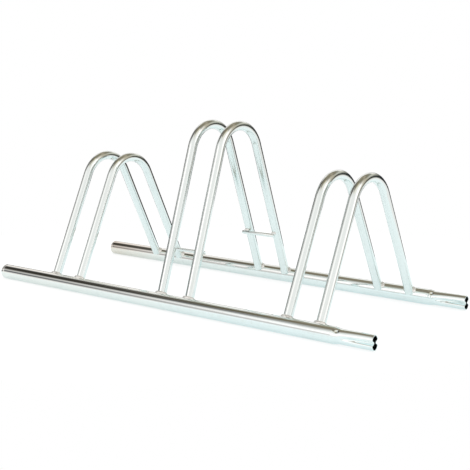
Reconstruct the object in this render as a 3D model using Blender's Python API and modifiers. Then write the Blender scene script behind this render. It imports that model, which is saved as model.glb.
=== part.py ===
"""Floor rack for three bicycles: two base rails, three pairs of wheel hoops, two rods and their welds.

Metres, +Z up. The rails run along X, the hoops stand in planes across them, and the floor is z = 0.
The origin is on the floor under the middle of the rack. The socket ends of the rails are at -X and
the crimped spigots, which plug into the sockets of the next rack, are at +X.
"""
import math

import bmesh
import bpy
from mathutils import Vector

OBJECT_NAME = "bicycle_rack"

# Base rails
RAIL_DIAMETER = 0.032
RAIL_WALL = 0.0015
RAIL_SPACING = 0.352
RAIL_BODY_LENGTH = 0.898
RAIL_SIDES = 32

# Spigots at the right ends of the rails, swaged down to fit the next rail's bore
SOCKET_CLEARANCE = 0.0010
SPIGOT_LENGTH = 0.080
SWAGE_LENGTH = 0.010

# Crimp in each spigot: a groove from each side that deepens towards the end
CRIMP_GROOVE_DEPTH = 0.0070
CRIMP_GROOVE_HALF_WIDTH = 0.0033
CRIMP_SQUEEZE = 0.0030
CRIMP_RISE = 0.0005
CRIMP_STATIONS = 6
CRIMP_SIDE_CROWDING = 0.55

# Wheel hoops
HOOP_DIAMETER = 0.019
HOOP_WALL = 0.0015
HOOP_BEND_RADIUS = 0.064
TALL_HOOP_HEIGHT = 0.3708
LOW_HOOP_HEIGHT = 0.2866
HOOP_FOOT_INSET = 0.0083
HOOP_FOOT_LAP = 0.0027
HOOP_BEND_STEPS = 12
HOOP_BEVEL_RESOLUTION = 6

# Pairs of hoops along the rails
PAIR_SPACING = 0.0735
PAIR_PITCH = 0.3135
FIRST_PAIR_FROM_LEFT = 0.1922

# Rods on the inner faces of the rear legs
ROD_DIAMETER = 0.008
STOP_ROD_HEIGHT = 0.1135
STOP_ROD_LEFT_OVERHANG = 0.0095
STOP_ROD_RIGHT_OVERHANG = 0.0025
STUB_ROD_HEIGHT = 0.0465
STUB_ROD_LENGTH = 0.104
STUB_ROD_OVERHANG = 0.002
ROD_BEVEL_RESOLUTION = 4

# Weld beads
FOOT_BEAD_RADIUS = 0.0048
FOOT_BEAD_HALF_ANGLE = math.radians(105.0)
FOOT_BEAD_STEPS = 12
ROD_BEAD_RADIUS = 0.0030
ROD_BEAD_LENGTH = 0.011
BEAD_BEVEL_RESOLUTION = 3

# Gap that welded pieces keep between their solids
SEAM_GAP = 0.0003
# How far a cutter reaches past the piece that it cuts
CUTTER_REACH = 0.012

# Principled BSDF values: colour, roughness, metallic
ZINC_TUBE = ("bright_zinc_tube", (0.80, 0.83, 0.83, 1.0), 0.18, 1.0)
ZINC_ROD = ("bright_zinc_rod", (0.78, 0.80, 0.80, 1.0), 0.25, 1.0)
WELD_ZINC = ("zinc_over_weld", (0.62, 0.60, 0.55, 1.0), 0.45, 1.0)

# Worked out from the sizes above
RAIL_RADIUS = RAIL_DIAMETER / 2
RAIL_BORE = RAIL_DIAMETER - 2 * RAIL_WALL
SPIGOT_RADIUS = (RAIL_BORE - SOCKET_CLEARANCE) / 2
HOOP_RADIUS = HOOP_DIAMETER / 2
ROD_RADIUS = ROD_DIAMETER / 2
RAIL_LENGTH = RAIL_BODY_LENGTH + SPIGOT_LENGTH
RAIL_LEFT = -RAIL_LENGTH / 2
RAIL_RIGHT = RAIL_LENGTH / 2
SHOULDER_X = RAIL_LEFT + RAIL_BODY_LENGTH
RAIL_AXIS_HEIGHT = RAIL_RADIUS * math.cos(math.pi / RAIL_SIDES)
HOOP_HALF_FOOT = RAIL_SPACING / 2 - HOOP_FOOT_INSET
STOP_ROD_LENGTH = PAIR_SPACING + STOP_ROD_LEFT_OVERHANG + STOP_ROD_RIGHT_OVERHANG


def new_collection(name):
    collection = bpy.data.collections.new(name)
    bpy.context.scene.collection.children.link(collection)
    return collection


def clear_scene():
    for obj in list(bpy.data.objects):
        bpy.data.objects.remove(obj, do_unlink=True)
    for collection in list(bpy.data.collections):
        bpy.data.collections.remove(collection)


def metal(settings):
    """Return the material that settings names, made on its first use."""
    name, colour, roughness, metallic = settings
    material = bpy.data.materials.get(name)
    if material is None:
        material = bpy.data.materials.new(name)
        material.use_nodes = True
        shader = material.node_tree.nodes["Principled BSDF"]
        shader.inputs["Base Color"].default_value = colour
        shader.inputs["Roughness"].default_value = roughness
        shader.inputs["Metallic"].default_value = metallic
    return material


def add_part(name, mesh, location, settings):
    """Link a mesh to the rack as a named part with its material, shaded smooth."""
    mesh.shade_smooth()
    mesh.set_sharp_from_angle(angle=math.radians(40.0))
    mesh.materials.clear()
    mesh.materials.append(metal(settings))
    obj = bpy.data.objects.new(name, mesh)
    obj.location = location
    parts.objects.link(obj)
    return obj


def add_cutter(name, mesh, location):
    obj = bpy.data.objects.new(name, mesh)
    obj.location = location
    obj.hide_render = True
    obj.display_type = "WIRE"
    cutters.objects.link(obj)
    return obj


def cut(obj, cutter):
    boolean = obj.modifiers.new("cut_" + cutter.name, "BOOLEAN")
    boolean.operation = "DIFFERENCE"
    boolean.object = cutter


def add_wall(obj, thickness):
    """Give an open outer surface its wall, inwards."""
    wall = obj.modifiers.new("wall", "SOLIDIFY")
    wall.thickness = thickness
    wall.offset = -1.0
    wall.use_even_offset = True


def tube_mesh(name, points, radius, resolution, capped=True):
    """Sweep a round section along points and return it as a mesh."""
    curve = bpy.data.curves.new(name, "CURVE")
    curve.dimensions = "3D"
    curve.bevel_depth = radius
    curve.bevel_resolution = resolution
    curve.use_fill_caps = capped
    spline = curve.splines.new("POLY")
    spline.points.add(len(points) - 1)
    for spline_point, point in zip(spline.points, points):
        spline_point.co = (*point, 1.0)
    carrier = bpy.data.objects.new(name, curve)
    bpy.context.scene.collection.objects.link(carrier)
    bpy.context.view_layer.update()
    evaluated = carrier.evaluated_get(bpy.context.evaluated_depsgraph_get())
    mesh = bpy.data.meshes.new_from_object(evaluated)
    bpy.data.objects.remove(carrier, do_unlink=True)
    bpy.data.curves.remove(curve)
    mesh.name = name
    shape = bmesh.new()
    shape.from_mesh(mesh)
    bmesh.ops.remove_doubles(shape, verts=shape.verts, dist=0.00001)
    shape.to_mesh(mesh)
    shape.free()
    return mesh


class HoopShape:
    """Centre line of an inverted V with a round top, in its own YZ plane."""

    def __init__(self, height):
        self.arc_height = height - HOOP_RADIUS - HOOP_BEND_RADIUS
        rise = self.arc_height - RAIL_AXIS_HEIGHT
        reach = math.hypot(HOOP_HALF_FOOT, rise)
        self.lean = math.atan2(rise, HOOP_HALF_FOOT) + math.asin(HOOP_BEND_RADIUS / reach)
        self.leg_up = Vector((0.0, -math.cos(self.lean), math.sin(self.lean)))
        self.inward = Vector((0.0, -math.sin(self.lean), -math.cos(self.lean)))
        self.foot = Vector((0.0, HOOP_HALF_FOOT, RAIL_AXIS_HEIGHT))
        self.seat = self.leg_seat()

    def leg_seat(self):
        """Distance up the rear leg's centre line from rail axis height to the rail's surface."""
        along = HOOP_FOOT_INSET * math.cos(self.lean)
        return -along + math.sqrt(along ** 2 + RAIL_RADIUS ** 2 - HOOP_FOOT_INSET ** 2)

    def leg_point(self, distance):
        """Point on the rear leg's centre line, at a distance from rail axis height."""
        return self.foot + self.leg_up * distance

    def leg_point_at(self, height):
        return self.leg_point((height - RAIL_AXIS_HEIGHT) / math.sin(self.lean))

    def centre_line(self, extra=0.0):
        """Points from the front foot over the top to the rear foot, with longer legs on request."""
        end = self.leg_point(self.seat - HOOP_FOOT_LAP - extra)
        half_turn = self.lean
        arc = []
        for step in range(HOOP_BEND_STEPS + 1):
            angle = half_turn * (1.0 - 2.0 * step / HOOP_BEND_STEPS)
            arc.append(Vector((0.0, -HOOP_BEND_RADIUS * math.sin(angle),
                               self.arc_height + HOOP_BEND_RADIUS * math.cos(angle))))
        return [Vector((0.0, -end.y, end.z))] + arc + [end]


def rail_section(radius, share):
    """Points of the rail's outer line in its own YZ plane: a circle, or an 8 as share nears 1."""
    points = []
    for index in range(RAIL_SIDES):
        angle = 2.0 * math.pi * (index + 0.5) / RAIL_SIDES
        angle -= 0.5 * CRIMP_SIDE_CROWDING * math.sin(2.0 * angle) * min(4.0 * share, 1.0)
        y = (radius - CRIMP_SQUEEZE * share) * math.cos(angle)
        z = (radius + CRIMP_RISE * share) * math.sin(angle)
        groove = CRIMP_GROOVE_DEPTH * share * math.exp(-(z / CRIMP_GROOVE_HALF_WIDTH) ** 2)
        points.append((y - math.copysign(groove, y), z))
    return points


def loft_mesh(name, sections):
    """Open surface through sections of equally many points, each a pair of x and its points."""
    vertices = [(x, y, z) for x, points in sections for y, z in points]
    sides = len(sections[0][1])
    faces = []
    for ring in range(len(sections) - 1):
        for side in range(sides):
            here = ring * sides + side
            after = ring * sides + (side + 1) % sides
            faces.append((here, after, after + sides, here + sides))
    mesh = bpy.data.meshes.new(name)
    mesh.from_pydata(vertices, [], faces)
    return mesh


def rail_mesh(name):
    """Open outer surface of a rail about its own axis: round body, swaged shoulder, crimped spigot."""
    sections = [(RAIL_LEFT, rail_section(RAIL_RADIUS, 0.0)), (SHOULDER_X, rail_section(RAIL_RADIUS, 0.0))]
    crimp_start = SHOULDER_X + SWAGE_LENGTH
    for station in range(CRIMP_STATIONS + 1):
        way = station / CRIMP_STATIONS
        x = crimp_start + (RAIL_RIGHT - crimp_start) * way
        sections.append((x, rail_section(SPIGOT_RADIUS, math.sin(way * math.pi / 2))))
    return loft_mesh(name, sections)


def rail_cutter_mesh(name):
    """Closed cylinder that leaves the seam gap round a rail's body."""
    shape = bmesh.new()
    radius = RAIL_RADIUS + SEAM_GAP
    created = bmesh.ops.create_cone(shape, cap_ends=True, segments=RAIL_SIDES,
                                    radius1=radius, radius2=radius, depth=RAIL_LENGTH)
    for vertex in created["verts"]:
        angle = math.atan2(vertex.co.y, vertex.co.x) + math.pi / RAIL_SIDES
        vertex.co = (vertex.co.z, radius * math.cos(angle), radius * math.sin(angle))
    mesh = bpy.data.meshes.new(name)
    shape.to_mesh(mesh)
    shape.free()
    return mesh


def foot_bead_points(hoop):
    """Seam between the rear leg's outer half and the rail, in the hoop's own plane at x = 0."""
    points = []
    outward = -hoop.inward
    for step in range(FOOT_BEAD_STEPS + 1):
        turn = FOOT_BEAD_HALF_ANGLE * (2.0 * step / FOOT_BEAD_STEPS - 1.0)
        side = Vector((math.sin(turn) * HOOP_RADIUS, 0.0, 0.0))
        base = hoop.foot + side + outward * (math.cos(turn) * HOOP_RADIUS)
        from_axis = base - Vector((base.x, RAIL_SPACING / 2, RAIL_AXIS_HEIGHT))
        along = from_axis.dot(hoop.leg_up)
        inside = along ** 2 + RAIL_RADIUS ** 2 - from_axis.length_squared
        if inside > 0.0:
            points.append(base + hoop.leg_up * (math.sqrt(inside) - along))
    return points


def turned_round(mesh, name):
    """Copy of a mesh, turned half a turn about Z."""
    copy = mesh.copy()
    copy.name = name
    for vertex in copy.vertices:
        vertex.co = (-vertex.co.x, -vertex.co.y, vertex.co.z)
    return copy


def hoop_positions():
    """Name, x and height of each hoop, from left to right."""
    heights = (("left", LOW_HOOP_HEIGHT), ("centre", TALL_HOOP_HEIGHT), ("right", LOW_HOOP_HEIGHT))
    rows = []
    for number, (place, height) in enumerate(heights):
        middle = RAIL_LEFT + FIRST_PAIR_FROM_LEFT + PAIR_PITCH * number
        rows.append((place + "_pair_left_hoop", middle - PAIR_SPACING / 2, height))
        rows.append((place + "_pair_right_hoop", middle + PAIR_SPACING / 2, height))
    return rows


def build_rails():
    """Make both rails and their cutters, and return the cutters as front and rear."""
    rail_cutters = {}
    for side, y in (("front", -RAIL_SPACING / 2), ("rear", RAIL_SPACING / 2)):
        place = (0.0, y, RAIL_AXIS_HEIGHT)
        rail = add_part(side + "_rail", rail_mesh(side + "_rail"), place, ZINC_TUBE)
        add_wall(rail, RAIL_WALL)
        rail_cutters[side] = add_cutter(side + "_rail_cutter", rail_cutter_mesh(side + "_rail_cutter"), place)
    return rail_cutters


def build_hoop(name, x, shape, rail_cutters):
    """Make one hoop, its cutter and the two beads at its feet."""
    place = (x, 0.0, 0.0)
    mesh = tube_mesh(name, shape.centre_line(), HOOP_RADIUS, HOOP_BEVEL_RESOLUTION, capped=False)
    hoop = add_part(name, mesh, place, ZINC_TUBE)
    add_wall(hoop, HOOP_WALL)
    for cutter in rail_cutters.values():
        cut(hoop, cutter)
    cutter_mesh = tube_mesh(name + "_cutter", shape.centre_line(CUTTER_REACH),
                            HOOP_RADIUS + SEAM_GAP, HOOP_BEVEL_RESOLUTION)
    hoop_cutter = add_cutter(name + "_cutter", cutter_mesh, place)
    rear_mesh = tube_mesh(name + "_rear_weld", foot_bead_points(shape), FOOT_BEAD_RADIUS, BEAD_BEVEL_RESOLUTION)
    front_mesh = turned_round(rear_mesh, name + "_front_weld")
    for side, bead_mesh in (("rear", rear_mesh), ("front", front_mesh)):
        bead = add_part(name + "_" + side + "_weld", bead_mesh, place, WELD_ZINC)
        cut(bead, hoop_cutter)
        cut(bead, rail_cutters[side])
    return hoop_cutter


def rod_axis(shape, height):
    """Point at x = 0 on the axis of a rod that lies on the inner face of a rear leg."""
    offset = shape.inward * (HOOP_RADIUS + ROD_RADIUS + SEAM_GAP)
    return shape.leg_point_at(height - offset.z) + offset


def build_rod(name, x, length, shape, height):
    """Make a rod from x to the right, and its cutter."""
    axis = rod_axis(shape, height)
    place = (x, axis.y, axis.z)
    ends = [Vector((0.0, 0.0, 0.0)), Vector((length, 0.0, 0.0))]
    add_part(name, tube_mesh(name, ends, ROD_RADIUS, ROD_BEVEL_RESOLUTION), place, ZINC_ROD)
    longer = [Vector((-CUTTER_REACH, 0.0, 0.0)), Vector((length + CUTTER_REACH, 0.0, 0.0))]
    mesh = tube_mesh(name + "_cutter", longer, ROD_RADIUS + SEAM_GAP, ROD_BEVEL_RESOLUTION)
    return add_cutter(name + "_cutter", mesh, place)


def build_rod_bead(name, x, shape, height, rod_cutter, hoop_cutter):
    """Make the short bead in the notch above a rod, where it lies on a leg at x."""
    axis = rod_axis(shape, height)
    touch = axis - shape.inward * ROD_RADIUS
    middle = touch + shape.leg_up * ROD_RADIUS
    ends = [Vector((-ROD_BEAD_LENGTH / 2, 0.0, 0.0)), Vector((ROD_BEAD_LENGTH / 2, 0.0, 0.0))]
    mesh = tube_mesh(name, ends, ROD_BEAD_RADIUS, BEAD_BEVEL_RESOLUTION)
    bead = add_part(name, mesh, (x, middle.y, middle.z), WELD_ZINC)
    cut(bead, rod_cutter)
    cut(bead, hoop_cutter)


def build_rack():
    rail_cutters = build_rails()
    shapes = {height: HoopShape(height) for height in (TALL_HOOP_HEIGHT, LOW_HOOP_HEIGHT)}
    rows = hoop_positions()
    hoop_cutters = [build_hoop(name, x, shapes[height], rail_cutters) for name, x, height in rows]
    tall = shapes[TALL_HOOP_HEIGHT]
    low = shapes[LOW_HOOP_HEIGHT]
    stub_leg, stop_left_leg, stop_right_leg = 1, 2, 3
    stop_cutter = build_rod("wheel_stop_rod", rows[stop_left_leg][1] - STOP_ROD_LEFT_OVERHANG,
                            STOP_ROD_LENGTH, tall, STOP_ROD_HEIGHT)
    stub_cutter = build_rod("stub_rod", rows[stub_leg][1] - STUB_ROD_OVERHANG,
                            STUB_ROD_LENGTH, low, STUB_ROD_HEIGHT)
    build_rod_bead("wheel_stop_rod_left_weld", rows[stop_left_leg][1], tall, STOP_ROD_HEIGHT,
                   stop_cutter, hoop_cutters[stop_left_leg])
    build_rod_bead("wheel_stop_rod_right_weld", rows[stop_right_leg][1], tall, STOP_ROD_HEIGHT,
                   stop_cutter, hoop_cutters[stop_right_leg])
    build_rod_bead("stub_rod_weld", rows[stub_leg][1], low, STUB_ROD_HEIGHT,
                   stub_cutter, hoop_cutters[stub_leg])


clear_scene()
parts = new_collection(OBJECT_NAME)
cutters = new_collection("cutters")
build_rack()
bpy.context.view_layer.update()
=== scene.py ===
"""Bicycle floor rack: the finished surfaces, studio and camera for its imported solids.

Two base rails of 32 mm tube carry three pairs of wheel hoops of 19 mm tube. Two short rods lie on
the rear legs. All of it is welded steel with bright zinc plating. Metres, +Z up, floor at z = 0.
"""
import math

import bmesh
import bpy
from mathutils import Matrix, Vector, noise


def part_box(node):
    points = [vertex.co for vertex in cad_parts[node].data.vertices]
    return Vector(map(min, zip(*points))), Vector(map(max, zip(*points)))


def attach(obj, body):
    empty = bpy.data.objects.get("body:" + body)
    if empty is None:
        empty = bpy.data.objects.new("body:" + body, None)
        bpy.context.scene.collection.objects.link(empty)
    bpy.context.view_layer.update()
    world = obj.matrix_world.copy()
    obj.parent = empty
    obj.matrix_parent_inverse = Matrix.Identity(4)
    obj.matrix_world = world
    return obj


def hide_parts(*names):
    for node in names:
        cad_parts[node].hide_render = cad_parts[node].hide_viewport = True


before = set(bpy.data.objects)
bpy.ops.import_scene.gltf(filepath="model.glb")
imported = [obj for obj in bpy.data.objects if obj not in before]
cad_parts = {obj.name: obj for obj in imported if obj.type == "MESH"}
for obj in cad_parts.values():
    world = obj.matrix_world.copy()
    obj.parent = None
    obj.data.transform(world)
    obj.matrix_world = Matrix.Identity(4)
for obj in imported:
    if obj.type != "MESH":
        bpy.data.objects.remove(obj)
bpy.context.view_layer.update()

bl_info = {
    "name": "Bicycle Floor Rack",
    "version": (1, 0, 0),
    "blender": (4, 5, 0),
    "location": "3D View > Sidebar > Rack",
    "description": "Builds the rack's zinc-plated tubes, rods, weld beads and photo studio",
    "category": "Object",
}

FRONT_LOW, FRONT_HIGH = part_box("front_rail")
REAR_LOW, REAR_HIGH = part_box("rear_rail")
RAIL_LEFT = FRONT_LOW.x
RAIL_RIGHT = FRONT_HIGH.x
RAIL_AXIS_HEIGHT = (FRONT_LOW.z + FRONT_HIGH.z) / 2
RAIL_Y = {"front": (FRONT_LOW.y + FRONT_HIGH.y) / 2, "rear": (REAR_LOW.y + REAR_HIGH.y) / 2}
PAIRS = ("left", "centre", "right")
HOOPS = [pair + "_pair_" + side + "_hoop" for pair in PAIRS for side in ("left", "right")]
RODS = ("wheel_stop_rod", "stub_rod")
ROD_WELDS = ("wheel_stop_rod_left_weld", "wheel_stop_rod_right_weld", "stub_rod_weld")


# ---------------------------------------------------------------- settings

class RackSizes(bpy.types.PropertyGroup):
    """Sizes of the rack's tubes, rods and beads"""

    rail_diameter: bpy.props.FloatProperty(
        name="Rail diameter", description="Outer diameter of the base rails",
        default=0.032, min=0.01, unit="LENGTH")
    rail_wall: bpy.props.FloatProperty(
        name="Rail wall", description="Wall of the base rails",
        default=0.0015, min=0.0005, unit="LENGTH")
    spigot_diameter: bpy.props.FloatProperty(
        name="Spigot diameter", description="Diameter of the swaged end before it is crimped",
        default=0.028, min=0.008, unit="LENGTH")
    spigot_length: bpy.props.FloatProperty(
        name="Spigot length", description="Length of the swaged end with its shoulder",
        default=0.080, min=0.01, unit="LENGTH")
    swage_length: bpy.props.FloatProperty(
        name="Shoulder length", description="Length over which the rail narrows to the spigot",
        default=0.010, min=0.002, unit="LENGTH")
    groove_depth: bpy.props.FloatProperty(
        name="Groove depth", description="Depth of the crimp's two grooves at the spigot's end",
        default=0.0070, min=0.0, unit="LENGTH")
    groove_half_width: bpy.props.FloatProperty(
        name="Groove half width", description="Half the width of the crimp's grooves",
        default=0.0033, min=0.001, unit="LENGTH")
    crimp_squeeze: bpy.props.FloatProperty(
        name="Crimp squeeze", description="How far the crimp narrows the spigot's end",
        default=0.0030, min=0.0, unit="LENGTH")
    crimp_rise: bpy.props.FloatProperty(
        name="Crimp rise", description="How far the crimp heightens the spigot's end",
        default=0.0005, min=0.0, unit="LENGTH")
    dent_depth: bpy.props.FloatProperty(
        name="Dent depth", description="Depth of the punch mark on each shoulder",
        default=0.0016, min=0.0, unit="LENGTH")
    dent_radius: bpy.props.FloatProperty(
        name="Dent radius", description="Radius of the punch mark on each shoulder",
        default=0.0026, min=0.0005, unit="LENGTH")
    hoop_diameter: bpy.props.FloatProperty(
        name="Hoop diameter", description="Outer diameter of the hoops' tube",
        default=0.019, min=0.005, unit="LENGTH")
    hoop_wall: bpy.props.FloatProperty(
        name="Hoop wall", description="Wall of the hoops' tube",
        default=0.0015, min=0.0005, unit="LENGTH")
    bend_radius: bpy.props.FloatProperty(
        name="Bend radius", description="Radius of the hoops' top, on the tube's centre line",
        default=0.064, min=0.02, unit="LENGTH")
    foot_inset: bpy.props.FloatProperty(
        name="Foot inset", description="How far the legs' axes pass inside the rails' axes",
        default=0.0083, min=0.0, unit="LENGTH")
    foot_lap: bpy.props.FloatProperty(
        name="Foot lap",
        description="How far the legs' square ends reach into the rails before they are coped",
        default=0.0027, min=0.0, unit="LENGTH")
    rod_diameter: bpy.props.FloatProperty(
        name="Rod diameter", description="Diameter of the two rods",
        default=0.008, min=0.002, unit="LENGTH")
    bead_radius: bpy.props.FloatProperty(
        name="Foot bead radius", description="Radius of the weld beads round the feet",
        default=0.0044, min=0.001, unit="LENGTH")
    rod_bead_radius: bpy.props.FloatProperty(
        name="Rod bead radius", description="Radius of the short weld beads at the rods",
        default=0.0030, min=0.001, unit="LENGTH")


class RackColours(bpy.types.PropertyGroup):
    """Colours of the rack's zinc plating, with a warm reflection painted into it"""

    zinc: bpy.props.FloatVectorProperty(
        name="Zinc", description="Reflected colour of the plating at the rails' left ends",
        subtype="COLOR", size=3, min=0.0, max=1.0, default=(0.84, 0.865, 0.835))
    zinc_blue: bpy.props.FloatVectorProperty(
        name="Zinc, blue", description="Reflected colour of the plating at the rails' right ends",
        subtype="COLOR", size=3, min=0.0, max=1.0, default=(0.82, 0.91, 0.91))
    # A painted reflection of a warm room, laid into the plating's colour at the rear rail's left
    # end.
    zinc_painted_warm_reflection: bpy.props.FloatVectorProperty(
        name="Zinc, warm",
        description="Reflected colour of the plating at the rear rail's left end",
        subtype="COLOR", size=3, min=0.0, max=1.0, default=(0.785, 0.735, 0.66))
    zinc_hoop: bpy.props.FloatVectorProperty(
        name="Zinc, hoops",
        description="Reflected colour of the plating on the hoops and the rods",
        subtype="COLOR", size=3, min=0.0, max=1.0, default=(0.80, 0.875, 0.865))
    zinc_shade: bpy.props.FloatVectorProperty(
        name="Zinc, dull", description="Reflected colour where the plating is duller",
        subtype="COLOR", size=3, min=0.0, max=1.0, default=(0.74, 0.79, 0.77))
    weld: bpy.props.FloatVectorProperty(
        name="Weld", description="Colour of the plating over the weld beads",
        subtype="COLOR", size=3, min=0.0, max=1.0, default=(0.88, 0.88, 0.85))
    weld_shade: bpy.props.FloatVectorProperty(
        name="Weld, burnt", description="Colour in the hollows of the weld beads",
        subtype="COLOR", size=3, min=0.0, max=1.0, default=(0.40, 0.385, 0.35))


class StudioSettings(bpy.types.PropertyGroup):
    """Camera and light of the photo studio"""

    camera_azimuth: bpy.props.FloatProperty(
        name="Camera azimuth", description="Turn of the camera round the rack, 0 looks along +Y",
        default=math.radians(38.412), subtype="ANGLE")
    camera_pitch: bpy.props.FloatProperty(
        name="Camera pitch", description="How far the camera looks down",
        default=math.radians(10.518), subtype="ANGLE")
    camera_roll: bpy.props.FloatProperty(
        name="Camera roll", description="Turn of the picture about the line of sight",
        default=math.radians(0.501), subtype="ANGLE")
    camera_depth: bpy.props.FloatProperty(
        name="Camera depth", description="Distance of the aim point along the line of sight",
        default=2.28963, unit="LENGTH")
    camera_offset: bpy.props.FloatVectorProperty(
        name="Camera offset",
        description="Place of the aim point right of and below the picture's centre",
        size=2, default=(-0.05712, 0.10581), unit="LENGTH")
    aim_from_left: bpy.props.FloatProperty(
        name="Aim point", description="Distance of the aim point from the rails' left end",
        default=0.4565, unit="LENGTH")
    camera_lens: bpy.props.FloatProperty(
        name="Focal length", description="Focal length on a 36 mm wide sensor, in millimetres",
        default=81.044)
    world_strength: bpy.props.FloatProperty(
        name="World strength", description="Strength of the even light that falls on matt surfaces",
        default=1.0, min=0.0)
    floor_radius: bpy.props.FloatProperty(
        name="Floor radius",
        description="Half the width of the white floor sheet that the tubes mirror",
        default=1.0, min=0.8, unit="LENGTH")
    floor_depth: bpy.props.FloatProperty(
        name="Floor depth",
        description="Depth of the floor sheet along the line of sight, as a share of its width",
        default=0.7, min=0.5, max=1.0)
    floor_shift: bpy.props.FloatVectorProperty(
        name="Floor shift",
        description="Move of the floor sheet to the camera's right and away from the camera",
        subtype="XYZ", size=2, unit="LENGTH", default=(-0.10, 0.10))


def rack_sizes():
    return bpy.context.scene.rack_sizes


# ---------------------------------------------------------------- modelling helpers

MERGE_DISTANCE = 0.00001
TUBE_EDGE = math.radians(40.0)
BEAD_EDGE = math.radians(60.0)
BEVEL_EDGE = math.radians(60.0)


def deselect_all():
    if bpy.context.object and bpy.context.object.mode != "OBJECT":
        bpy.ops.object.mode_set(mode="OBJECT")
    bpy.ops.object.select_all(action="DESELECT")


def make_active(obj):
    deselect_all()
    obj.select_set(True)
    bpy.context.view_layer.objects.active = obj


def add_ring(name, centre, direction, radius, sides):
    """Add a circle of edges across direction, with its place in its mesh, open for editing."""
    deselect_all()
    turn = direction.to_track_quat("Z", "Y").to_euler()
    bpy.ops.mesh.primitive_circle_add(vertices=sides, radius=radius,
                                      location=centre, rotation=turn)
    ring = bpy.context.object
    ring.name = name
    ring.data.name = name
    bpy.ops.object.transform_apply(location=True, rotation=True, scale=True)
    bpy.ops.object.mode_set(mode="EDIT")
    bpy.ops.mesh.select_all(action="SELECT")
    return ring


def extrude_by(move):
    bpy.ops.mesh.extrude_region_move(TRANSFORM_OT_translate={"value": tuple(move)})


def apply_modifier(obj, kind, **settings):
    make_active(obj)
    modifier = obj.modifiers.new(kind.lower(), kind)
    for key, value in settings.items():
        setattr(modifier, key, value)
    bpy.ops.object.modifier_apply(modifier=modifier.name)


def turn_outwards(obj, centre_line):
    """Point an open tube's faces away from its centre line, which is a function of a point."""
    face = obj.data.polygons[0]
    if face.normal.dot(face.center - centre_line(face.center)) < 0.0:
        make_active(obj)
        bpy.ops.object.mode_set(mode="EDIT")
        bpy.ops.mesh.select_all(action="SELECT")
        bpy.ops.mesh.flip_normals()
        bpy.ops.object.mode_set(mode="OBJECT")


def give_wall(obj, wall):
    """Turn an open tube's surface into a wall that lies inside it."""
    apply_modifier(obj, "SOLIDIFY", thickness=wall, offset=-1.0, use_even_offset=True)


def shade_round(obj, angle=TUBE_EDGE):
    """Shade smooth across edges that turn less than angle."""
    make_active(obj)
    bpy.ops.object.shade_smooth_by_angle(angle=angle)


def note_tube_place(obj, straighten):
    """Keep every point's place on its straightened tube, which the drawn streaks follow."""
    attribute = obj.data.attributes.new(TUBE_PLACE, "FLOAT_VECTOR", "POINT")
    for vertex, item in zip(obj.data.vertices, attribute.data):
        item.vector = straighten(vertex.co)


def finish_piece(obj, node, material):
    """Give a finished piece its material and put it in its CAD node's place."""
    obj.data.materials.clear()
    obj.data.materials.append(material)
    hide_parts(node)
    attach(obj, "root")


# ---------------------------------------------------------------- shader helpers

class Wire:
    """A shader socket that takes part in Python expressions by adding Math nodes."""

    def __init__(self, tree, socket):
        self.tree = tree
        self.socket = socket

    def _math(self, operation, first, second=None):
        node = self.tree.nodes.new("ShaderNodeMath")
        node.operation = operation
        for index, value in enumerate((first, second)):
            if value is None:
                continue
            if isinstance(value, Wire):
                self.tree.links.new(value.socket, node.inputs[index])
            else:
                node.inputs[index].default_value = value
        return Wire(self.tree, node.outputs[0])

    def __add__(self, other):
        return self._math("ADD", self, other)

    def __radd__(self, other):
        return self._math("ADD", other, self)

    def __sub__(self, other):
        return self._math("SUBTRACT", self, other)

    def __rsub__(self, other):
        return self._math("SUBTRACT", other, self)

    def __mul__(self, other):
        return self._math("MULTIPLY", self, other)

    def __rmul__(self, other):
        return self._math("MULTIPLY", other, self)

    def __abs__(self):
        return self._math("ABSOLUTE", self)

    def angle_to(self, other):
        return self._math("ARCTAN2", self, other)

    def arc_sine(self):
        return self._math("ARCSINE", self)


class Shader:
    """One material's or world's node tree, built up by short calls."""

    def __init__(self, owner):
        owner.use_nodes = True
        self.tree = owner.node_tree
        self.tree.nodes.clear()

    def node(self, kind, settings=None, values=None, output=0):
        """Add a node with its settings, then its sockets' values or links.

        Returns the output of that number or name, or a list of outputs for a tuple of them.
        """
        node = self.tree.nodes.new("ShaderNode" + kind)
        for key, value in (settings or {}).items():
            setattr(node, key, value)
        for key, value in (values or {}).items():
            if isinstance(value, Wire):
                self.tree.links.new(value.socket, node.inputs[key])
            else:
                node.inputs[key].default_value = value
        if isinstance(output, tuple):
            return [Wire(self.tree, node.outputs[key]) for key in output]
        return Wire(self.tree, node.outputs[output]) if node.outputs else node

    def mix_colour(self, factor, first, second):
        """The first colour at a factor of 0, the second at 1."""
        return self.node("Mix", {"data_type": "RGBA"},
                         {0: factor, 6: rgba(first), 7: rgba(second)}, 2)

    def noise(self, place, scale, detail, roughness):
        """Noise from 0 to 1, with scale in waves per metre."""
        return self.node("TexNoise", None, {"Vector": place, "Scale": scale, "Detail": detail,
                                            "Roughness": roughness})

    def soft_step(self, value, low, high, start=0.0, end=1.0):
        """Go smoothly from start to end while value goes from low to high."""
        return self.node("MapRange", {"interpolation_type": "SMOOTHSTEP"},
                         {0: value, 1: low, 2: high, 3: start, 4: end})

    def bump(self, height, distance, below=None):
        """Relief of a height map, on top of the relief below."""
        values = {"Strength": 1.0, "Distance": distance, "Height": height}
        if below is not None:
            values["Normal"] = below
        return self.node("Bump", None, values)


def rgba(colour):
    """Colour with an alpha of 1, or the wire that carries a colour."""
    return colour if isinstance(colour, Wire) else (*colour[:3], 1.0)


def new_material(name):
    material = bpy.data.materials.new(name)
    return material, Shader(material)


# ---------------------------------------------------------------- zinc plating

TUBE_PLACE = "tube_place"

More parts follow.
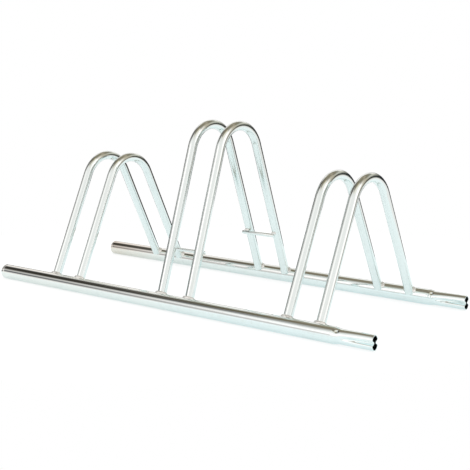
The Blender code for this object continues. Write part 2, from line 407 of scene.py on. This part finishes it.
# Noise patterns: scale in waves per metre, detail and roughness.
PATCHES = (7.0, 3.0, 0.55)
MOTTLE = (120.0, 3.0, 0.6)
STREAKS = (420.0, 3.0, 0.6)
SCRATCHES = (1500.0, 1.0, 0.5)
WAVES = (26.0, 1.0, 0.4)
WELD_PITS = (520.0, 4.0, 0.55)
WELD_BURNS = (90.0, 2.0, 0.5)
# Streaks and scratches are drawn out along the tube.
DRAWN_SCALE = (0.012, 1.0, 1.0)
SCRATCH_HEIGHT_SHARE = 0.3

# Where the rails' tone changes: along X from the left ends to the share BLUE_REACH of the right
# ends, or over the length WARM_REFLECTION_END for the painted reflection of a warm room at the rear
# rail's left end, and along Y between WARM_REFLECTION_REAR. The patches shift both by a share of
# the wander.
BLUE_REACH = 0.8
BLUE_WANDER = 0.5
# The warm end is a painted reflection of a warm room, not a tint of the plating.
WARM_REFLECTION_END = 0.18
WARM_REFLECTION_WANDER = 0.06
WARM_REFLECTION_REAR = (0.05, 0.12)

# What makes the plating dull, the step over which it does, and how far it changes the finish.
DULL_PATCHES, DULL_MOTTLE, DULL_STREAKS = 0.35, 0.25, 0.4
DULL_STEP = (0.46, 0.68)
DULL_TINT = 0.6
DULL_ROUGHNESS = 0.9

WELD_PITS_SHARE, WELD_BURNS_SHARE = 0.5, 0.5
WELD_HOLLOWS = (0.5, 0.68)
WELD_METALLIC = 0.5
WELD_ROUGHNESS = 0.26
WELD_HOLLOW_ROUGHNESS = 0.2
WELD_PIT_HEIGHT = 0.00008

# Name, roughness, height of the slow waves and height of the drawn streaks, in metres.
ZINC_FINISHES = {
    "rail": ("zinc_on_rails", 0.060, 0.00005, 0.0000016),
    "hoop": ("zinc_on_hoops", 0.085, 0.00002, 0.0000008),
    "rod": ("zinc_on_rods", 0.14, 0.00004, 0.0000030),
}
MATERIALS = {}


def rail_tone_and_painted_reflection(shader, place, patches, colour, blue, painted_warm_reflection):
    """The rails' tone: bluer towards their right ends, with a painted reflection of a warm room at
    the rear rail's left end.
    """
    x, y = shader.node("SeparateXYZ", None, {"Vector": place}, output=("X", "Y"))
    wander = patches - 0.5
    bluer = shader.soft_step(x + wander * BLUE_WANDER, RAIL_LEFT, RAIL_RIGHT * BLUE_REACH)
    painted_reflection_near_left = shader.soft_step(x + wander * WARM_REFLECTION_WANDER, RAIL_LEFT, RAIL_LEFT + WARM_REFLECTION_END,
                                 1.0, 0.0)
    painted_reflection_at_rear = shader.node("MapRange", None,
                          {0: y, 1: WARM_REFLECTION_REAR[0], 2: WARM_REFLECTION_REAR[1], 3: 0.0, 4: 1.0})
    # Lay the painted warm reflection over the bluer tone towards the right ends.
    return shader.mix_colour(painted_reflection_near_left * painted_reflection_at_rear, shader.mix_colour(bluer, colour, blue), painted_warm_reflection)


def zinc_material(name, colour, ends, shade, roughness, wave_height, streak_height):
    """Bright zinc on drawn tube: mirror-like, streaked along the tube, dull in patches."""
    material, shader = new_material(name)
    place = shader.node("TexCoord", output="Object")
    along = shader.node("Attribute", {"attribute_name": TUBE_PLACE}, output="Vector")
    drawn = shader.node("Mapping", None, {"Vector": along, "Scale": DRAWN_SCALE})
    patches = shader.noise(place, *PATCHES)
    mottle = shader.noise(place, *MOTTLE)
    streaks = shader.noise(drawn, *STREAKS)
    scratches = shader.noise(drawn, *SCRATCHES)
    dull = shader.soft_step(patches * DULL_PATCHES + mottle * DULL_MOTTLE
                            + streaks * DULL_STREAKS, *DULL_STEP)
    # On the rails the tone carries a painted warm reflection at the rear rail's left end.
    tone = rail_tone_and_painted_reflection(shader, place, patches, colour, *ends) if ends else colour
    relief = shader.bump(shader.noise(place, *WAVES), wave_height)
    lines = streaks + scratches * SCRATCH_HEIGHT_SHARE
    surface = shader.node("BsdfPrincipled", None, {
        "Base Color": shader.mix_colour(dull * DULL_TINT, tone, shade),
        "Metallic": 1.0,
        "Roughness": roughness + dull * (roughness * DULL_ROUGHNESS),
        "Normal": shader.bump(lines, streak_height, relief)})
    shader.node("OutputMaterial", None, {"Surface": surface})
    return material


def weld_material(name, colour, shade):
    """Zinc over a weld bead: softer than on the tubes, with dull, burnt hollows."""
    material, shader = new_material(name)
    place = shader.node("TexCoord", output="Object")
    pits = shader.noise(place, *WELD_PITS)
    burns = shader.noise(place, *WELD_BURNS)
    dark = shader.soft_step(pits * WELD_PITS_SHARE + burns * WELD_BURNS_SHARE, *WELD_HOLLOWS)
    surface = shader.node("BsdfPrincipled", None, {
        "Base Color": shader.mix_colour(dark, colour, shade),
        "Metallic": WELD_METALLIC,
        "Roughness": WELD_ROUGHNESS + WELD_HOLLOW_ROUGHNESS * dark,
        "Normal": shader.bump(pits, WELD_PIT_HEIGHT)})
    shader.node("OutputMaterial", None, {"Surface": surface})
    return material


def rack_material(key):
    """The rack's materials, each made on its first use."""
    if key not in MATERIALS:
        colours = bpy.context.scene.rack_colours
        if key in ZINC_FINISHES:
            title, *finish = ZINC_FINISHES[key]
            on_rails = key == "rail"
            colour = colours.zinc if on_rails else colours.zinc_hoop
            # The rails' ends: a bluer tone at the right, and a painted warm reflection at the rear
            # rail's left end.
            ends = (colours.zinc_blue, colours.zinc_painted_warm_reflection) if on_rails else None
            MATERIALS[key] = zinc_material(title, colour, ends, colours.zinc_shade, *finish)
        else:
            MATERIALS[key] = weld_material("zinc_on_welds", colours.weld, colours.weld_shade)
    return MATERIALS[key]


# ---------------------------------------------------------------- rails

RAIL_SIDES = 128
SWAGE_RINGS = 16
SPIGOT_RINGS = 56
RING_AFTER_SOCKET = 0.01
RING_BEFORE_SHOULDER = 0.03
# The shoulder eases in and out by these lengths past its stated one.
SHOULDER_LEAD = 0.004
SHOULDER_TAIL = 0.002
RAIL_EDGE_ROUNDING = 0.0003
# Each rail takes its streaks from another place of the pattern.
RAIL_PATTERN_APART = 9.0
DENT_FROM_SHOULDER = 0.007
DENT_ANGLE = math.radians(49.0)


def smooth_step(value):
    """0 below 0, 1 above 1, and smooth between."""
    value = min(max(value, 0.0), 1.0)
    return value * value * (3.0 - 2.0 * value)


def rail_stations():
    """Pairs of x and radius along a rail, from its socket to its spigot's end."""
    sizes = rack_sizes()
    outer = sizes.rail_diameter / 2
    inner = sizes.spigot_diameter / 2
    shoulder = RAIL_RIGHT - sizes.spigot_length
    narrowing = shoulder - SHOULDER_LEAD
    length = SHOULDER_LEAD + sizes.swage_length + SHOULDER_TAIL
    stations = [(RAIL_LEFT, outer), (RAIL_LEFT + RING_AFTER_SOCKET, outer),
                (shoulder - RING_BEFORE_SHOULDER, outer), (narrowing, outer)]
    for ring in range(1, SWAGE_RINGS + 1):
        way = ring / SWAGE_RINGS
        stations.append((narrowing + length * way, outer + (inner - outer) * smooth_step(way)))
    start = stations[-1][0]
    for ring in range(1, SPIGOT_RINGS + 1):
        stations.append((start + (RAIL_RIGHT - start) * ring / SPIGOT_RINGS, inner))
    return stations


def crimp(obj, middle_y):
    """Press the two grooves into the spigot and the punch mark into the shoulder."""
    sizes = rack_sizes()
    shoulder = RAIL_RIGHT - sizes.spigot_length
    start = shoulder + sizes.swage_length
    dent_x = shoulder + DENT_FROM_SHOULDER
    for vertex in obj.data.vertices:
        x = vertex.co.x
        y = vertex.co.y - middle_y
        z = vertex.co.z - RAIL_AXIS_HEIGHT
        radius = math.hypot(y, z)
        angle = math.atan2(z, y)
        if x > start:
            share = math.sin((x - start) / (RAIL_RIGHT - start) * math.pi / 2)
            y = (radius - sizes.crimp_squeeze * share) * math.cos(angle)
            z = (radius + sizes.crimp_rise * share) * math.sin(angle)
            groove = sizes.groove_depth * share * math.exp(-(z / sizes.groove_half_width) ** 2)
            y -= math.copysign(groove, y)
        dent_y = -math.cos(DENT_ANGLE) * radius
        dent_z = math.sin(DENT_ANGLE) * radius
        away = math.hypot(x - dent_x, y - dent_y, z - dent_z) / sizes.dent_radius
        depth = sizes.dent_depth * math.exp(-away ** 2)
        y += math.cos(DENT_ANGLE) * depth
        z -= math.sin(DENT_ANGLE) * depth
        vertex.co = (x, y + middle_y, z + RAIL_AXIS_HEIGHT)


def build_rail(side):
    """Draw out one rail ring by ring, crimp its spigot and give it its wall."""
    stations = rail_stations()
    y = RAIL_Y[side]
    first_x, radius = stations[0]
    rail = add_ring("zinc_" + side + "_rail", Vector((first_x, y, RAIL_AXIS_HEIGHT)),
                    Vector((1.0, 0.0, 0.0)), radius, RAIL_SIDES)
    last_x = first_x
    for x, next_radius in stations[1:]:
        extrude_by((x - last_x, 0.0, 0.0))
        if next_radius != radius:
            share = next_radius / radius
            bpy.ops.transform.resize(value=(1.0, share, share),
                                     center_override=(x, y, RAIL_AXIS_HEIGHT))
        last_x, radius = x, next_radius
    bpy.ops.object.mode_set(mode="OBJECT")
    turn_outwards(rail, lambda point: Vector((point.x, y, RAIL_AXIS_HEIGHT)))
    crimp(rail, y)
    give_wall(rail, rack_sizes().rail_wall)
    apply_modifier(rail, "BEVEL", width=RAIL_EDGE_ROUNDING, segments=2, limit_method="ANGLE",
                   angle_limit=BEVEL_EDGE)
    shade_round(rail)
    note_tube_place(rail, lambda point: (point.x + y * RAIL_PATTERN_APART,
                                         point.y - y, point.z - RAIL_AXIS_HEIGHT))
    finish_piece(rail, side + "_rail", rack_material("rail"))


# ---------------------------------------------------------------- hoops

HOOP_SIDES = 64
BEND_STEPS = 96
# Roller ripples: height, pitch, shares of the even wave and of the uneven drift, the drift's
# scales along the bend, from hoop to hoop and across the tube, and how far past the bend's end,
# in radians, they run and fade.
BEND_RIPPLE = 0.00004
BEND_RIPPLE_PITCH = 0.0125
BEND_WAVE_SHARE = 0.5
BEND_DRIFT_SHARE = 1.2
BEND_DRIFT_SCALE = (60.0, 5.1, 1.5)
BEND_DRIFT_DEPTH = 0.01
BEND_RUNOUT = 0.12
BEND_FADE = 0.3
HOOP_SEED_STEP = 1.7
FOOT_RING = 0.020
SEAT_OVERLAP = 0.0001
# Each hoop takes its streaks from another place of the pattern.
HOOP_PATTERN_APART = 11.0


class HoopLine:
    """Centre line of a hoop in its own YZ plane: two straight legs and a round top."""

    def __init__(self, node):
        sizes = rack_sizes()
        low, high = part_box(node)
        self.x = (low.x + high.x) / 2
        self.tube_radius = sizes.hoop_diameter / 2
        self.bend_radius = sizes.bend_radius
        self.rail_radius = sizes.rail_diameter / 2
        self.arc_height = high.z - self.tube_radius - self.bend_radius
        self.half_foot = RAIL_Y["rear"] - sizes.foot_inset
        rise = self.arc_height - RAIL_AXIS_HEIGHT
        reach = math.hypot(self.half_foot, rise)
        self.lean = math.atan2(rise, self.half_foot) + math.asin(self.bend_radius / reach)
        along = sizes.foot_inset * math.cos(self.lean)
        seat = -along + math.sqrt(along ** 2 + self.rail_radius ** 2 - sizes.foot_inset ** 2)
        self.end = seat - sizes.foot_lap

    def leg_up(self, side):
        """Direction up the front leg (side -1) or the rear leg (side 1)."""
        return Vector((0.0, -side * math.cos(self.lean), math.sin(self.lean)))

    def inward(self, side):
        """Direction across a leg, towards the inside of the hoop."""
        return Vector((0.0, -side * math.sin(self.lean), -math.cos(self.lean)))

    def leg_point(self, side, distance):
        """Point on a leg's centre line, at a distance up from the height of the rails' axes."""
        foot = Vector((self.x, side * self.half_foot, RAIL_AXIS_HEIGHT))
        return foot + self.leg_up(side) * distance

    def tangent_distance(self):
        """Distance up a leg to where the round top begins."""
        top = self.arc_height + self.bend_radius * math.cos(self.lean)
        return (top - RAIL_AXIS_HEIGHT) / math.sin(self.lean)

    def arc_centre(self):
        return Vector((self.x, 0.0, self.arc_height))

    def straightened(self, point):
        """A point's distance along the hoop from its top, and its two distances across the tube."""
        side = -1 if point.y < 0.0 else 1
        foot = self.leg_point(side, 0.0)
        up = self.tangent_distance() - (point - foot).dot(self.leg_up(side))
        from_centre = point - self.arc_centre()
        if up > 0.0:
            along = self.bend_radius * self.lean + up
            inward = (point - foot).dot(self.inward(side))
        else:
            along = self.bend_radius * math.atan2(abs(from_centre.y), from_centre.z)
            inward = self.bend_radius - math.hypot(from_centre.y, from_centre.z)
        return (side * along + self.x * HOOP_PATTERN_APART, point.x - self.x, inward)


def ripple_bend(obj, line, seed):
    """Press the bending roller's faint ripples into the round top."""
    centre = line.arc_centre()
    for vertex in obj.data.vertices:
        out = vertex.co - centre
        turn = math.atan2(abs(out.y), out.z)
        share = smooth_step((line.lean + BEND_RUNOUT - turn) / BEND_FADE)
        if share > 0.0:
            middle = centre + Vector((0.0, out.y, out.z)).normalized() * line.bend_radius
            along = math.atan2(out.y, out.z) * line.bend_radius
            wave = math.sin(2.0 * math.pi * along / BEND_RIPPLE_PITCH + seed)
            across = math.atan2(out.x, BEND_DRIFT_DEPTH)
            drift = noise.noise(Vector((along, seed, across)) * Vector(BEND_DRIFT_SCALE))
            press = BEND_WAVE_SHARE * wave + BEND_DRIFT_SHARE * drift
            vertex.co += (vertex.co - middle).normalized() * (BEND_RIPPLE * share * press)


def rail_cutter(side):
    """Cylinder that shapes the hoops' feet to a rail."""
    deselect_all()
    reach = RAIL_RIGHT - RAIL_LEFT
    bpy.ops.mesh.primitive_cylinder_add(
        vertices=RAIL_SIDES * 2, radius=rack_sizes().rail_diameter / 2 - SEAT_OVERLAP, depth=reach,
        location=(0.0, RAIL_Y[side], RAIL_AXIS_HEIGHT), rotation=(0.0, math.pi / 2, 0.0))
    cutter = bpy.context.object
    bpy.ops.object.transform_apply(location=True, rotation=True, scale=True)
    return cutter


def build_hoop(node, cutters):
    """Bend one hoop from a ring of edges and cope its feet to the rails."""
    line = HoopLine(node)
    foot = line.leg_point(-1, line.end)
    up = line.leg_up(-1)
    straight = line.tangent_distance() - line.end - FOOT_RING
    hoop = add_ring("zinc_" + node, foot, up, line.tube_radius, HOOP_SIDES)
    extrude_by(up * FOOT_RING)
    extrude_by(up * straight)
    bpy.ops.mesh.spin(steps=BEND_STEPS, angle=2.0 * line.lean,
                      center=line.arc_centre(), axis=(1.0, 0.0, 0.0))
    extrude_by(line.leg_up(1) * -straight)
    extrude_by(line.leg_up(1) * -FOOT_RING)
    bpy.ops.mesh.select_all(action="SELECT")
    bpy.ops.mesh.remove_doubles(threshold=MERGE_DISTANCE)
    bpy.ops.object.mode_set(mode="OBJECT")
    ripple_bend(hoop, line, HOOPS.index(node) * HOOP_SEED_STEP)
    turn_outwards(hoop, lambda point: foot + up * (point - foot).dot(up))
    give_wall(hoop, rack_sizes().hoop_wall)
    for cutter in cutters:
        apply_modifier(hoop, "BOOLEAN", operation="DIFFERENCE", object=cutter, solver="EXACT")
    shade_round(hoop)
    note_tube_place(hoop, line.straightened)
    finish_piece(hoop, node, rack_material("hoop"))


# ---------------------------------------------------------------- weld beads

BEAD_SIDES_RESOLUTION = 6
FOOT_BEAD_TURN = math.radians(105.0)
FOOT_BEAD_STEPS = 84
FOOT_BEAD_SEED_STEP = 2.3
ROD_BEAD_STEPS = 14
ROD_BEAD_SEED = 20.0
# A bead's ends round off over this many radii, down to the root of this share of the radius.
BEAD_END_LENGTH = 0.9
BEAD_END_LEAST = 0.02
# Heights are shares of the bead's radius, scales are in waves per metre.
RIPPLE_PITCH = 0.0017
RIPPLE_BASE = 0.97
RIPPLE_HEIGHT = 0.045
BEAD_DRIFT = 0.05
BEAD_DRIFT_SCALE = (220.0, 3.7, 1.0)
BEAD_LUMPS = 0.05
BEAD_LUMP_SCALE = 330.0


def foot_seam(line, side):
    """Points along the seam round a foot's outer half."""
    points = []
    outward = -line.inward(side)
    foot = line.leg_point(side, 0.0)
    rail_y = RAIL_Y["rear"] * side
    up = line.leg_up(side)
    for step in range(FOOT_BEAD_STEPS + 1):
        turn = FOOT_BEAD_TURN * (2.0 * step / FOOT_BEAD_STEPS - 1.0)
        base = foot + Vector((math.sin(turn), 0.0, 0.0)) * line.tube_radius
        base += outward * (math.cos(turn) * line.tube_radius)
        from_axis = base - Vector((base.x, rail_y, RAIL_AXIS_HEIGHT))
        along = from_axis.dot(up)
        inside = along ** 2 + line.rail_radius ** 2 - from_axis.length_squared
        if inside > 0.0:
            points.append(base + up * (math.sqrt(inside) - along))
    return points


def build_bead(node, points, radius, seed):
    """Run a rippled bead with round ends along points. The seed makes each bead its own."""
    deselect_all()
    curve = bpy.data.curves.new("zinc_" + node, "CURVE")
    curve.dimensions = "3D"
    curve.bevel_depth = radius
    curve.bevel_resolution = BEAD_SIDES_RESOLUTION
    curve.use_fill_caps = True
    spline = curve.splines.new("POLY")
    spline.points.add(len(points) - 1)
    length = sum((b - a).length for a, b in zip(points, points[1:]))
    run = 0.0
    last = points[0]
    for spline_point, point in zip(spline.points, points):
        run += (point - last).length
        last = point
        spline_point.co = (*point, 1.0)
        end = min(run, length - run) / (radius * BEAD_END_LENGTH)
        rounding = math.sqrt(max(1.0 - (1.0 - min(end, 1.0)) ** 2, BEAD_END_LEAST))
        wave = abs(math.sin(math.pi * run / RIPPLE_PITCH + seed))
        drift = noise.noise(Vector((run, seed, 0.0)) * Vector(BEAD_DRIFT_SCALE))
        spline_point.radius = rounding * (RIPPLE_BASE + RIPPLE_HEIGHT * wave + BEAD_DRIFT * drift)
    bead = bpy.data.objects.new("zinc_" + node, curve)
    bpy.context.scene.collection.objects.link(bead)
    make_active(bead)
    bpy.ops.object.convert(target="MESH")
    bead = bpy.context.object
    bpy.ops.object.mode_set(mode="EDIT")
    bpy.ops.mesh.select_all(action="SELECT")
    bpy.ops.mesh.remove_doubles(threshold=MERGE_DISTANCE)
    bpy.ops.mesh.normals_make_consistent(inside=False)
    bpy.ops.object.mode_set(mode="OBJECT")
    for vertex in bead.data.vertices:
        lump = noise.noise(vertex.co * BEAD_LUMP_SCALE + Vector((seed, 0.0, 0.0)))
        vertex.co += vertex.normal * (lump * radius * BEAD_LUMPS)
    shade_round(bead, BEAD_EDGE)
    finish_piece(bead, node, rack_material("weld"))


# ---------------------------------------------------------------- rods

ROD_SIDES = 48
ROD_END_ROUNDING = 0.0006
END_FACE_NORMAL = 0.9


def build_rod(node):
    """Make one rod from a cylinder, with its ends rounded off."""
    low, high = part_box(node)
    middle = (low + high) / 2
    radius = rack_sizes().rod_diameter / 2
    deselect_all()
    bpy.ops.mesh.primitive_cylinder_add(
        vertices=ROD_SIDES, radius=radius, depth=high.x - low.x, end_fill_type="NGON",
        location=middle, rotation=(0.0, math.pi / 2, 0.0))
    rod = bpy.context.object
    rod.name = "zinc_" + node
    rod.data.name = rod.name
    bpy.ops.object.transform_apply(location=True, rotation=True, scale=True)
    bpy.ops.object.mode_set(mode="EDIT")
    bpy.ops.mesh.select_mode(type="FACE")
    bpy.ops.mesh.select_all(action="DESELECT")
    shape = bmesh.from_edit_mesh(rod.data)
    for face in shape.faces:
        face.select = abs(face.normal.x) > END_FACE_NORMAL
    bmesh.update_edit_mesh(rod.data)
    bpy.ops.mesh.bevel(offset=ROD_END_ROUNDING, segments=3, affect="EDGES")
    bpy.ops.object.mode_set(mode="OBJECT")
    shade_round(rod)
    note_tube_place(rod, lambda point: (point.x, point.y - middle.y, point.z - middle.z))
    finish_piece(rod, node, rack_material("rod"))


def rod_bead_points(node):
    """Short run along the notch above a rod, where it meets a leg."""
    low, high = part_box(node)
    middle = (low + high) / 2
    half = (high.x - low.x) / 2
    return [middle + Vector((half * (2.0 * step / ROD_BEAD_STEPS - 1.0), 0.0, 0.0))
            for step in range(ROD_BEAD_STEPS + 1)]


# ---------------------------------------------------------------- operators

class RACK_OT_rails(bpy.types.Operator):
    """Build the two base rails with their sockets and crimped spigots"""
    bl_idname = "rack.rails"
    bl_label = "Base Rails"

    def execute(self, context):
        for side in ("front", "rear"):
            build_rail(side)
        return {"FINISHED"}


class RACK_OT_hoops(bpy.types.Operator):
    """Bend the six wheel hoops and cope their feet to the rails"""
    bl_idname = "rack.hoops"
    bl_label = "Wheel Hoops"

    def execute(self, context):
        cutters = [rail_cutter(side) for side in ("front", "rear")]
        for node in HOOPS:
            build_hoop(node, cutters)
        for cutter in cutters:
            bpy.data.objects.remove(cutter, do_unlink=True)
        return {"FINISHED"}


class RACK_OT_rods(bpy.types.Operator):
    """Make the wheel-stop rod and the stub rod"""
    bl_idname = "rack.rods"
    bl_label = "Rods"

    def execute(self, context):
        for node in RODS:
            build_rod(node)
        return {"FINISHED"}


class RACK_OT_welds(bpy.types.Operator):
    """Run the weld beads round the feet and at the rods"""
    bl_idname = "rack.welds"
    bl_label = "Weld Beads"

    def execute(self, context):
        sizes = rack_sizes()
        for number, node in enumerate(HOOPS):
            line = HoopLine(node)
            for side, word in ((-1, "front"), (1, "rear")):
                build_bead(node + "_" + word + "_weld", foot_seam(line, side), sizes.bead_radius,
                           number * FOOT_BEAD_SEED_STEP + side)
        for number, node in enumerate(ROD_WELDS):
            build_bead(node, rod_bead_points(node), sizes.rod_bead_radius, ROD_BEAD_SEED + number)
        return {"FINISHED"}


class RACK_OT_studio(bpy.types.Operator):
    """Set up the floor, the light and the camera"""
    bl_idname = "rack.studio"
    bl_label = "Studio"

    def execute(self, context):
        build_floor()
        build_world()
        build_camera()
        context.scene.view_settings.view_transform = "Standard"
        return {"FINISHED"}


# ---------------------------------------------------------------- studio

# What the tubes mirror: soft cards laid over each other in this order on pale walls. Azimuths are
# degrees right of the photo's line of sight, elevations are degrees above the floor.
# name, middle azimuth, half its width, lowest and highest elevation, softness, colour
STUDIO_CARDS = (
    ("ceiling", 0.0, 400.0, 68.0, 200.0, 55.0, (0.46, 0.34, 0.12)),
    ("front ceiling", 29.0, 96.0, 46.0, 98.0, 13.0, (0.29, 0.235, 0.155)),
    ("gold ceiling", 52.0, 66.0, 40.0, 98.0, 10.0, (0.27, 0.232, 0.165)),
    ("gold strip", 50.0, 62.0, 56.0, 65.0, 8.0, (0.44, 0.365, 0.275)),
    ("left flag", -59.5, 27.5, 27.0, 54.0, 24.0, (0.040, 0.037, 0.029)),
    ("left backdrop", -38.0, 30.0, -20.0, 27.0, 15.0, (0.26, 0.235, 0.22)),
    ("left stand", -65.0, 12.5, -2.0, 10.5, 3.0, (0.01, 0.01, 0.01)),
    ("right backdrop", 60.0, 45.5, -7.0, 42.0, 8.0, (0.28, 0.265, 0.225)),
    ("right lamp", 56.0, 27.0, 23.0, 36.0, 8.0, (0.64, 0.60, 0.52)),
    ("right drape", 92.0, 13.0, 10.0, 54.0, 9.0, (0.54, 0.465, 0.36)),
    ("right stand", 48.0, 17.0, -7.0, 14.0, 8.0, (0.012, 0.015, 0.02)),
    ("right stand top", 70.0, 14.0, 2.5, 14.0, 7.0, (0.012, 0.015, 0.02)),
    ("left doorway", -98.5, 14.0, 7.0, 23.5, 14.0, (0.02, 0.04, 0.05)),
    ("right soft box", 121.0, 17.0, 6.0, 51.5, 34.0, (1.60, 1.46, 1.43)),
    ("left soft box", -119.0, 20.0, 13.0, 32.0, 26.0, (1.60, 1.46, 1.43)),
    ("front window", 4.0, 30.0, 17.0, 33.5, 11.0, (1.08, 1.0, 0.95)),
    ("far floor", 5.0, 45.0, -21.0, 8.0, 8.0, (0.05, 0.05, 0.05)),
    ("dim ceiling behind", -140.0, 126.0, 70.5, 73.0, 36.0, (0.55, 0.54, 0.56)),
    ("bright ceiling behind", 156.0, 34.0, 50.0, 71.0, 12.0, (1.0, 0.92, 0.83)),
    ("left ceiling", -75.0, 52.0, 59.0, 92.0, 12.0, (0.24, 0.205, 0.155)),
)
STUDIO_WALLS = (1.0, 0.95, 0.935)
WHITE = (1.0, 1.0, 1.0, 1.0)
HALF_TURN = 180.0
ZENITH = 90.0

FLOOR_SIDES = 128
FLOOR_PAINT = (0.95, 0.95, 0.95, 1.0)
# The camera sees this share of white glow over the paint, so the floor is white round its shadow.
FLOOR_GLOW_SHARE = 0.62
FLOOR_GLOW = 1.16
# The zinc mirrors this share of a cool glow over the same.
FLOOR_COOL_SHARE = 0.3
FLOOR_COOL_GLOW = 1.33
FLOOR_COOL = (0.883, 1.0, 1.015, 1.0)

SENSOR_WIDTH = 36.0
CAMERA_REACH = 100.0


def build_floor():
    """An oval white sheet: white to the camera but for the rack's shadow, cool to the zinc."""
    studio = bpy.context.scene.rack_studio
    middle = Matrix.Rotation(studio.camera_azimuth, 3, "Z") @ Vector((*studio.floor_shift, 0.0))
    deselect_all()
    bpy.ops.mesh.primitive_circle_add(
        vertices=FLOOR_SIDES, radius=studio.floor_radius, fill_type="NGON",
        location=middle, rotation=(0.0, 0.0, studio.camera_azimuth))
    floor = bpy.context.object
    floor.name = "studio_floor"
    floor.scale = (1.0, studio.floor_depth, 1.0)
    bpy.ops.object.transform_apply(location=True, rotation=True, scale=True)
    material, shader = new_material("studio_floor_white")
    paint = shader.node("BsdfDiffuse", None, {"Color": FLOOR_PAINT})
    glow = shader.node("Emission", None, {"Color": WHITE, "Strength": FLOOR_GLOW})
    cool = shader.node("Emission", None, {"Color": FLOOR_COOL, "Strength": FLOOR_COOL_GLOW})
    camera, glossy = shader.node("LightPath", output=("Is Camera Ray", "Is Glossy Ray"))
    seen = shader.node("MixShader", None, {0: camera * FLOOR_GLOW_SHARE, 1: paint, 2: glow})
    mixed = shader.node("MixShader", None, {0: glossy * FLOOR_COOL_SHARE, 1: seen, 2: cool})
    shader.node("OutputMaterial", None, {"Surface": mixed})
    floor.data.materials.append(material)


def card_mask(shader, azimuth, elevation, middle, half_width, low, high, softness):
    """1 inside one studio card and 0 outside, with soft edges."""
    edge = softness / 2
    mask = shader.soft_step(elevation, low - edge, low + edge)
    if high < ZENITH + edge:
        mask = mask * shader.soft_step(elevation, high - edge, high + edge, 1.0, 0.0)
    if half_width < HALF_TURN:
        away = abs(shader.node("Math", {"operation": "WRAP"},
                               {0: azimuth - middle, 1: HALF_TURN, 2: -HALF_TURN}))
        mask = mask * shader.soft_step(away, half_width - edge, half_width + edge, 1.0, 0.0)
    return mask


def build_world():
    """White for the camera, even light for matt surfaces, and the studio's cards for the zinc."""
    studio = bpy.context.scene.rack_studio
    world = bpy.data.worlds.new("studio_world")
    bpy.context.scene.world = world
    shader = Shader(world)
    direction = shader.node("TexCoord", output="Generated")
    turned = shader.node("VectorRotate", {"rotation_type": "Z_AXIS"},
                         {"Vector": direction, "Angle": -studio.camera_azimuth})
    right, ahead, up = shader.node("SeparateXYZ", None, {"Vector": turned}, output=("X", "Y", "Z"))
    azimuth = right.angle_to(ahead) * math.degrees(1.0)
    elevation = up.arc_sine() * math.degrees(1.0)
    seen = STUDIO_WALLS
    for _, middle, half_width, low, high, softness, colour in STUDIO_CARDS:
        mask = card_mask(shader, azimuth, elevation, middle, half_width, low, high, softness)
        seen = shader.mix_colour(mask, seen, colour)
    mirrored = shader.node("Background", None, {"Color": seen, "Strength": 1.0})
    even = shader.node("Background", None, {"Color": WHITE, "Strength": studio.world_strength})
    white = shader.node("Background", None, {"Color": WHITE, "Strength": 1.0})
    camera, glossy = shader.node("LightPath", output=("Is Camera Ray", "Is Glossy Ray"))
    lit = shader.node("MixShader", None, {0: glossy, 1: even, 2: mirrored})
    both = shader.node("MixShader", None, {0: camera, 1: lit, 2: white})
    shader.node("OutputWorld", None, {"Surface": both})


def build_camera():
    """Place the camera by its angles, and by where the aim point lies before it."""
    studio = bpy.context.scene.rack_studio
    azimuth, pitch, roll = studio.camera_azimuth, studio.camera_pitch, studio.camera_roll
    ahead = Vector((-math.sin(azimuth) * math.cos(pitch), math.cos(azimuth) * math.cos(pitch),
                    -math.sin(pitch)))
    level_right = Vector((math.cos(azimuth), math.sin(azimuth), 0.0))
    level_down = ahead.cross(level_right)
    right = level_right * math.cos(roll) + level_down * math.sin(roll)
    down = level_down * math.cos(roll) - level_right * math.sin(roll)
    aim = Vector((RAIL_LEFT + studio.aim_from_left, 0.0, RAIL_AXIS_HEIGHT))
    place = (aim - right * studio.camera_offset[0] - down * studio.camera_offset[1]
             - ahead * studio.camera_depth)
    data = bpy.data.cameras.new("photo_camera")
    data.lens = studio.camera_lens
    data.sensor_width = SENSOR_WIDTH
    data.clip_end = CAMERA_REACH
    camera = bpy.data.objects.new("photo_camera", data)
    bpy.context.scene.collection.objects.link(camera)
    turned = Matrix((right, -down, -ahead)).transposed().to_4x4()
    camera.matrix_world = Matrix.Translation(place) @ turned
    bpy.context.scene.camera = camera


# ---------------------------------------------------------------- panel and registration

STEPS = (RACK_OT_rails, RACK_OT_hoops, RACK_OT_rods, RACK_OT_welds, RACK_OT_studio)


class RACK_PT_sidebar(bpy.types.Panel):
    """Lists the rack's steps and settings"""
    bl_idname = "RACK_PT_sidebar"
    bl_label = "Bicycle Floor Rack"
    bl_space_type = "VIEW_3D"
    bl_region_type = "UI"
    bl_category = "Rack"

    def draw(self, context):
        layout = self.layout
        for step in STEPS:
            layout.operator(step.bl_idname)
        for group_name, kind in SETTINGS.items():
            column = layout.column(align=True)
            for name in kind.__annotations__:
                column.prop(getattr(context.scene, group_name), name)


SETTINGS = {"rack_sizes": RackSizes, "rack_colours": RackColours, "rack_studio": StudioSettings}


def register():
    for name, group in SETTINGS.items():
        bpy.utils.register_class(group)
        setattr(bpy.types.Scene, name, bpy.props.PointerProperty(type=group))
    for step in STEPS:
        bpy.utils.register_class(step)
    bpy.utils.register_class(RACK_PT_sidebar)


def unregister():
    bpy.utils.unregister_class(RACK_PT_sidebar)
    for step in reversed(STEPS):
        bpy.utils.unregister_class(step)
    for name, group in reversed(SETTINGS.items()):
        delattr(bpy.types.Scene, name)
        bpy.utils.unregister_class(group)


def main():
    register()
    bpy.ops.rack.rails()
    bpy.ops.rack.hoops()
    bpy.ops.rack.rods()
    bpy.ops.rack.welds()
    bpy.ops.rack.studio()


if __name__ == "__main__":
    main()
